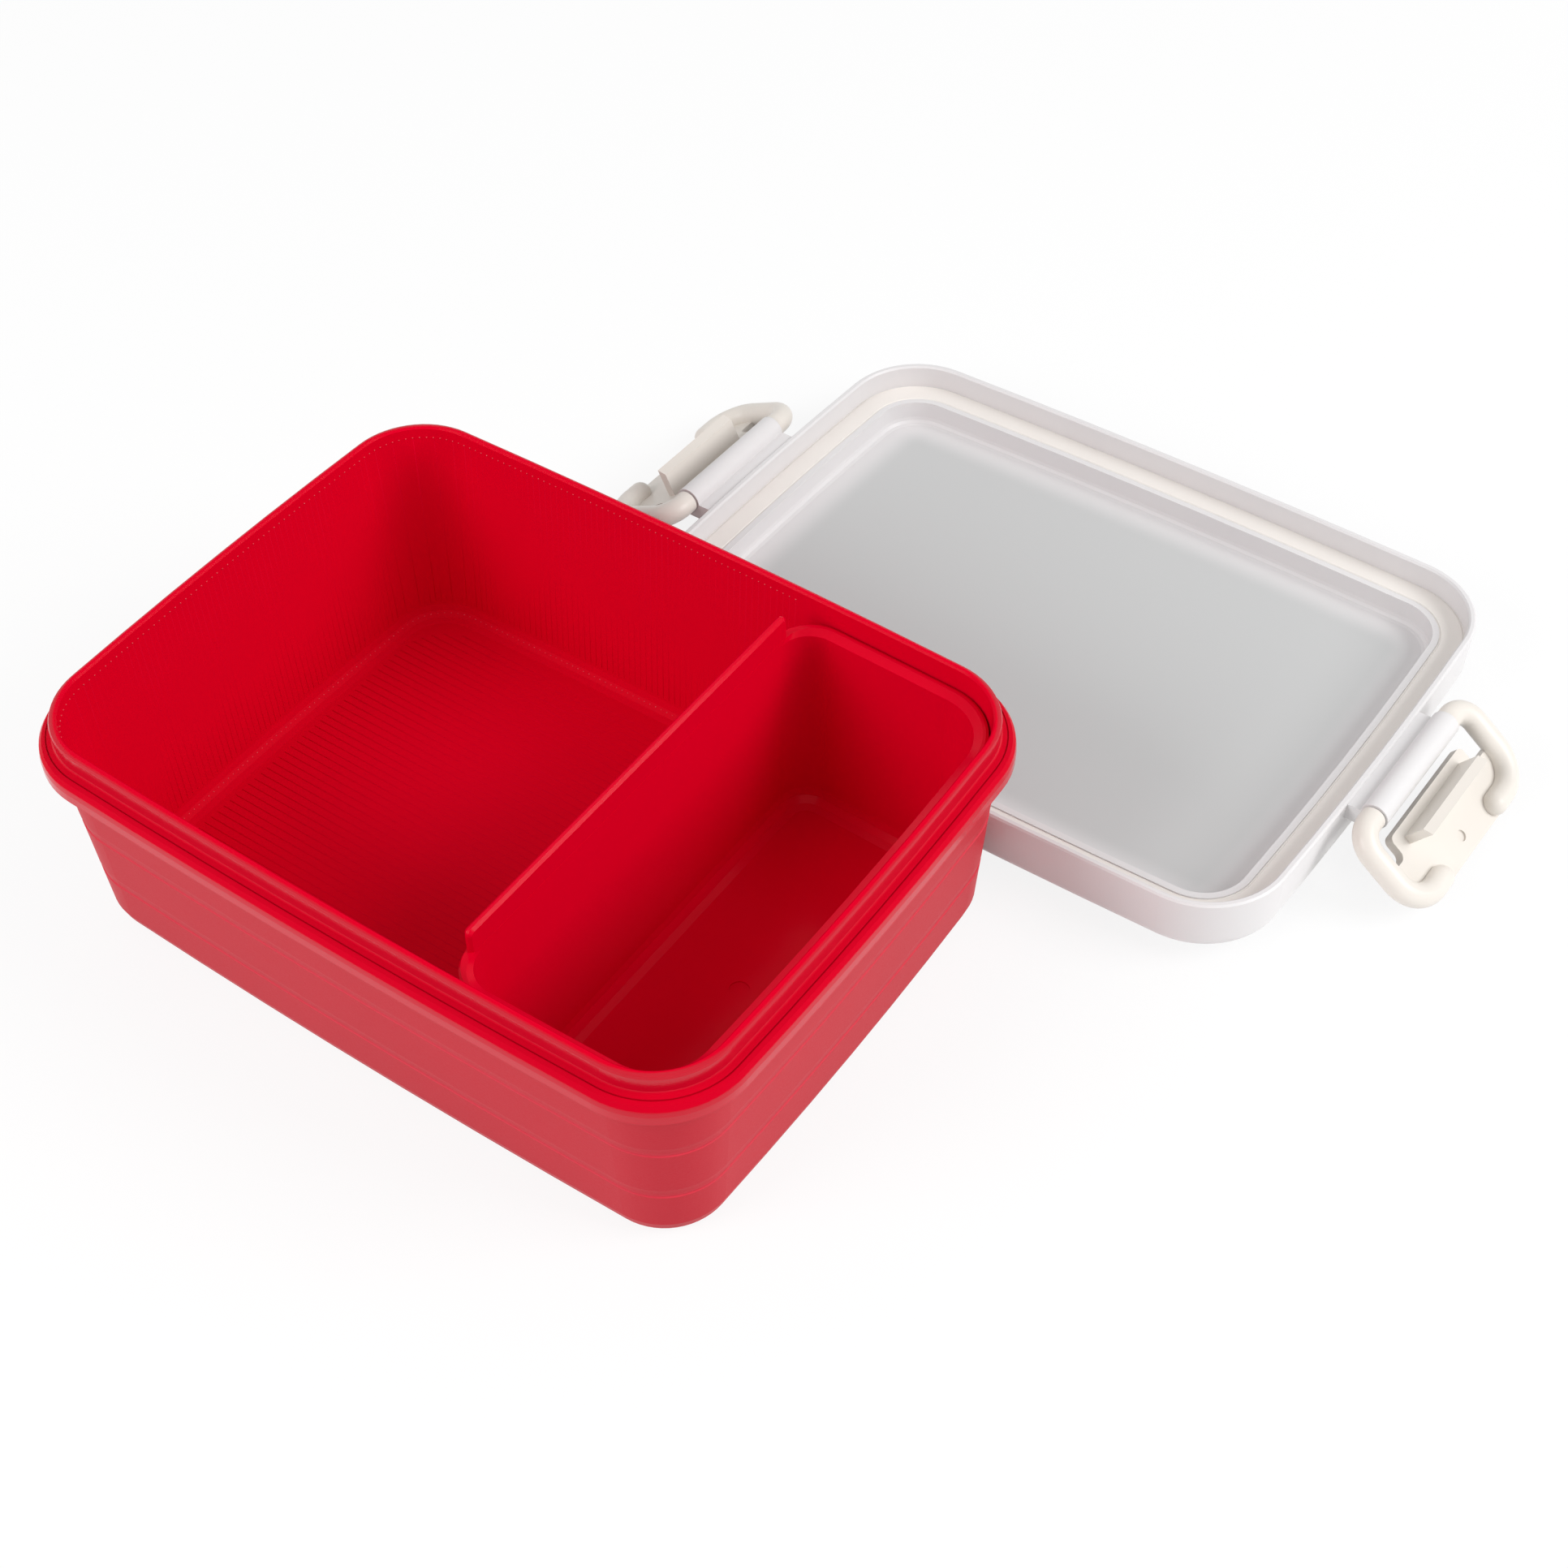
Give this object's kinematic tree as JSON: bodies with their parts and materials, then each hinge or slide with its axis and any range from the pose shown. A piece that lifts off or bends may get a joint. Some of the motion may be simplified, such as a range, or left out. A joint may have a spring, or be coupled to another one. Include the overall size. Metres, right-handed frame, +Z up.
{
  "type": "lunch box",
  "caption": "Open rectangular lunch box with a lift-out divider tray; the shallow lid with its seal ring lies upside down behind it, swing clips on both short ends.",
  "frame": {"origin": "middle of the box's flat underside, on the table", "axes": "+Z up, +X along the box's long side towards the insert tray, +Y across it towards the lid"},
  "size_m": [0.2488, 0.2537, 0.0579],
  "materials": {
    "red_box": "satin",
    "red_tray": "gloss",
    "pale_lid": "satin",
    "seal": "matte",
    "pale_clip": "gloss"
  },
  "bodies": {
    "box_body": {"box": "red_box"},
    "tray_body": {"insert_tray": "red_tray"},
    "lid_body": {"lid": "pale_lid", "seal_ring": "seal"},
    "right_clip": {"clip_right": "pale_clip"},
    "left_clip": {"clip_left": "pale_clip"}
  },
  "joints": [
    {"name": "tray_lift", "type": "slide", "parent": "box_body", "child": "tray_body", "axis": [0, 0, 1], "range_m": [0, 0.07]},
    {"name": "lid_slide", "type": "slide", "parent": "box_body", "child": "lid_body", "axis": [0, 1, 0], "range_m": [0, 0.1]},
    {"name": "right_clip_hinge", "type": "hinge", "parent": "lid_body", "child": "right_clip", "pos_m": [0.14286, 0.12258, 0.01797], "axis": [-0.0179, -0.9997, 0.014], "range_deg": [-4, 139]},
    {"name": "left_clip_hinge", "type": "hinge", "parent": "lid_body", "child": "left_clip", "pos_m": [-0.04026, 0.12581, 0.01382], "axis": [0.0179, 0.9997, -0.014], "range_deg": [0, 127]}
  ]
}
